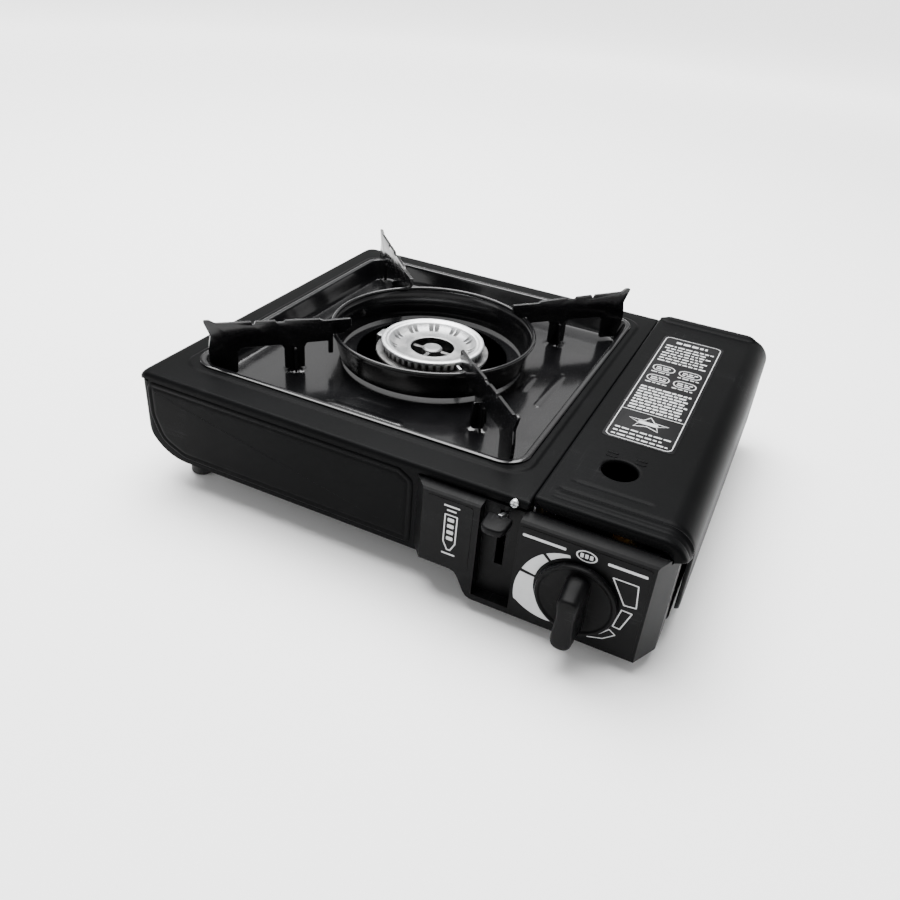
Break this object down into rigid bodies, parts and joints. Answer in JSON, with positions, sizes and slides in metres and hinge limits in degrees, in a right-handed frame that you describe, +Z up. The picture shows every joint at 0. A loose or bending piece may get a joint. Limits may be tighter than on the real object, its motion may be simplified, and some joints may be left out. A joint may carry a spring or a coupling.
{
  "type": "camping stove",
  "caption": "Portable single-burner gas stove: low steel case, square drip tray with a ring-shaped pan support, a cartridge bay under a hinged lid, and a plastic front box with knob and lever.",
  "frame": {"origin": "on the table, under the middle of the whole stove's outline with the lid closed", "axes": "+X to the right along the front, +Y towards the rear, +Z up"},
  "size_m": [0.342, 0.304, 0.1075],
  "materials": {
    "charcoal_paint": "satin charcoal powder coat on pressed steel, with a fine orange peel",
    "black_enamel": "deep glossy black enamel",
    "box_plastic": "black moulded plastic, slightly glossy",
    "knob_plastic": "matt black moulded plastic with a fine spark texture",
    "galvanised_steel": "zinc-plated pressed steel",
    "cast_aluminium": "bright machined and cast aluminium",
    "sheet_aluminium": "rolled aluminium strip and tube",
    "brass": "machined brass",
    "foot_rubber": "black rubber",
    "white_ceramic": "white glazed ceramic",
    "printed_label": "printed film on the lid",
    "wire_sleeve": "black silicone sleeve"
  },
  "bodies": {
    "stove_body": {"base_pan": "charcoal_paint", "top_plate": "charcoal_paint", "heat_shield": "galvanised_steel", "heat_plate": "sheet_aluminium", "cartridge_cradle": "galvanised_steel", "burner_stand": "galvanised_steel", "control_box": "box_plastic", "governor_body": "brass", "governor_socket": "brass", "governor_cover": "galvanised_steel", "gas_pipe": "sheet_aluminium", "piezo_igniter": "knob_plastic", "igniter_wire": "wire_sleeve", "lever_bracket": "galvanised_steel", "hinge_rod": "galvanised_steel", "hinge_ear_left": "galvanised_steel", "hinge_ear_right": "galvanised_steel", "foot_front_left": "foot_rubber", "foot_rear_left": "foot_rubber", "foot_front_right": "foot_rubber", "foot_rear_right": "foot_rubber", "top_plate_screw": "galvanised_steel", "burner_bowl": "cast_aluminium", "burner_head": "cast_aluminium", "burner_hub": "cast_aluminium", "mixing_tube": "galvanised_steel", "gas_nozzle": "brass", "electrode_ceramic": "white_ceramic", "electrode_tip": "galvanised_steel", "electrode_bracket": "galvanised_steel"},
    "drip_tray": {"drip_tray": "black_enamel"},
    "pan_support": {"support_ring": "black_enamel", "support_arm_rear_right": "black_enamel", "support_arm_rear_left": "black_enamel", "support_arm_front_left": "black_enamel", "support_arm_front_right": "black_enamel"},
    "lid": {"cartridge_lid": "charcoal_paint", "lid_label": "printed_label"},
    "knob": {"control_knob": "knob_plastic", "valve_stem": "brass"},
    "lever": {"lock_lever": "galvanised_steel", "lever_pad": "knob_plastic", "lever_pin": "galvanised_steel"},
    "carrier": {"cartridge_carrier": "galvanised_steel"}
  },
  "joints": [
    {"name": "tray_lift", "type": "slide", "parent": "stove_body", "child": "drip_tray", "axis": [0, 0, 1], "range_m": [0, 0.08]},
    {"name": "support_lift", "type": "slide", "parent": "drip_tray", "child": "pan_support", "axis": [0, 0, 1], "range_m": [0, 0.08]},
    {"name": "lid_hinge", "type": "hinge", "parent": "stove_body", "child": "lid", "pos_m": [0.129, 0.1475, 0.066], "axis": [-1, 0, 0], "range_deg": [0, 95]},
    {"name": "knob_turn", "type": "hinge", "parent": "stove_body", "child": "knob", "pos_m": [0.123, -0.1318, 0.0385], "axis": [0, -1, 0], "range_deg": [0, 140]},
    {"name": "lever_press", "type": "hinge", "parent": "stove_body", "child": "lever", "pos_m": [0.0762, -0.069, 0.04], "axis": [1, 0, 0], "range_deg": [0, 25]},
    {"name": "carrier_slide", "type": "slide", "parent": "stove_body", "child": "carrier", "axis": [0, -1, 0], "range_m": [0, 0.006]}
  ],
  "couplings": [
    {"joint": "carrier_slide", "follows": "lever_press", "m_per_rad": 0.01375}
  ]
}
